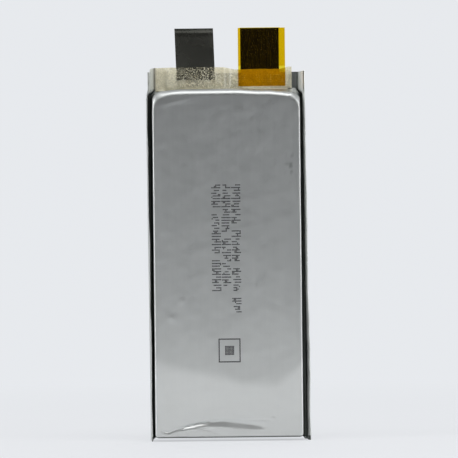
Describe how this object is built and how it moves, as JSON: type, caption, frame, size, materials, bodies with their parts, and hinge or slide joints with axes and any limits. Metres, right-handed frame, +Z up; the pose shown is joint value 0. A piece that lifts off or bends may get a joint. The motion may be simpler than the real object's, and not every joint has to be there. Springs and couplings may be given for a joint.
{
  "type": "pouch battery cell",
  "caption": "Flat rectangular lithium pouch cell: a drawn laminate film cup with folded side seals, a taped top seal and flat metal tabs that bend.",
  "frame": {"origin": "middle of the underside: midway across the width, midway through the thickness, level with the lower ends of the folded side seals", "axes": "+Z up the cell's length towards the tabs, -Y out of the drawn front face, +Y out of the flat rear face, +X towards the positive tab seen from the front"},
  "size_m": [0.0338, 0.0066, 0.0875],
  "materials": {
    "laminate_film": "satin",
    "frosted_tape": "satin",
    "polyimide_tape": "gloss",
    "nickel": "satin",
    "plated_copper": "satin",
    "tab_aluminium": "satin",
    "sealant_film": "matte",
    "copper_foil": "satin",
    "aluminium_foil": "satin",
    "anode_coating": "matte",
    "cathode_coating": "matte",
    "separator_film": "matte",
    "stack_tape": "gloss",
    "weld_insulation": "gloss"
  },
  "bodies": {
    "cell": {"pouch_front_film": "laminate_film", "pouch_rear_film": "laminate_film", "terrace_tape": "frosted_tape", "polyimide_tape_foot": "polyimide_tape", "negative_lead": "plated_copper", "negative_strip_foot": "nickel", "positive_tab_root": "tab_aluminium", "negative_sealant_front": "sealant_film", "negative_sealant_rear": "sealant_film", "positive_sealant_front": "sealant_film", "positive_sealant_rear": "sealant_film", "negative_weld_tape_front": "weld_insulation", "negative_weld_tape_rear": "weld_insulation", "positive_weld_tape_front": "weld_insulation", "positive_weld_tape_rear": "weld_insulation", "separator_ribbon": "separator_film", "anode_foils": "copper_foil", "anode_coatings": "anode_coating", "cathode_foils": "aluminium_foil", "cathode_coatings": "cathode_coating", "stack_side_tapes": "stack_tape", "stack_bottom_tape": "stack_tape"},
    "negative_tab": {"negative_strip_blade": "nickel"},
    "positive_tab": {"positive_tab_blade": "tab_aluminium", "polyimide_tape_sleeve": "polyimide_tape"}
  },
  "joints": [
    {"name": "negative_tab_bend", "type": "hinge", "parent": "cell", "child": "negative_tab", "pos_m": [-0.00635, 0.00262, 0.0794], "axis": [1, 0, 0], "range_deg": [-90, 90]},
    {"name": "positive_tab_bend", "type": "hinge", "parent": "cell", "child": "positive_tab", "pos_m": [0.00735, 0.00301, 0.0794], "axis": [1, 0, 0], "range_deg": [-90, 90]}
  ]
}
